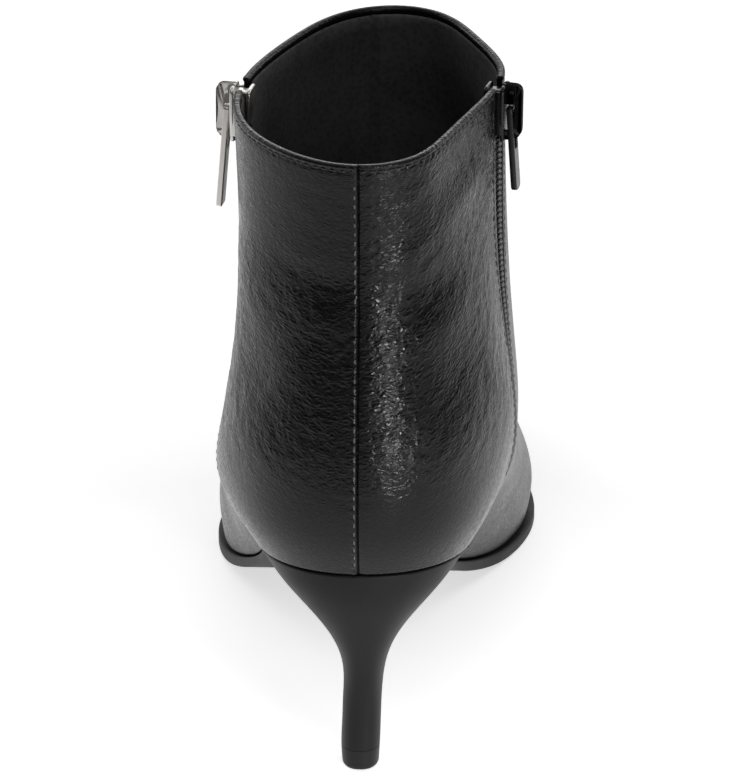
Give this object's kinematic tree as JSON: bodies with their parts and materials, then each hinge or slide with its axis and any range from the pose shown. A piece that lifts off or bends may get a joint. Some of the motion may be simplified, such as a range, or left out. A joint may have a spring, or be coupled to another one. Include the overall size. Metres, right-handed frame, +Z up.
{
  "type": "ankle boot",
  "caption": "Black leather ankle boot with a pointed toe, a slim covered heel and a zip down each side, whose pull tabs swing on their sliders.",
  "frame": {"origin": "centre of the boot's bounding box on the floor", "axes": "+Y to the toe, +X to the inner side of the foot, +Z up"},
  "size_m": [0.0846, 0.2562, 0.1677],
  "materials": {
    "upper_leather": "fine-grained glossy black leather",
    "lining_leather": "matt black lining leather",
    "sole_rubber": "black, dull edge",
    "heel_cover": "smooth dull black cover",
    "tip_rubber": "hard black rubber",
    "black_textile": "woven black tape and thread",
    "bright_metal": "satin nickel",
    "black_metal": "glossy black enamel"
  },
  "bodies": {
    "boot": {"upper": "upper_leather", "insole": "lining_leather", "outsole": "sole_rubber", "heel": "heel_cover", "heel_tip": "tip_rubber", "zip_chain_lateral": "black_textile", "zip_chain_medial": "black_textile", "zip_slider_lateral": "bright_metal", "zip_slider_medial": "black_metal"},
    "pull_lateral": {"zip_pull_lateral": "bright_metal"},
    "pull_medial": {"zip_pull_medial": "black_metal"}
  },
  "joints": [
    {"name": "pull_lateral_swing", "type": "hinge", "parent": "boot", "child": "pull_lateral", "pos_m": [-0.03107, -0.07692, 0.15644], "axis": [0.1611, 0.9862, 0.0388], "range_deg": [0, 150]},
    {"name": "pull_medial_swing", "type": "hinge", "parent": "boot", "child": "pull_medial", "pos_m": [0.03627, -0.0755, 0.15662], "axis": [-0.2202, -0.9751, -0.0266], "range_deg": [0, 150]}
  ]
}
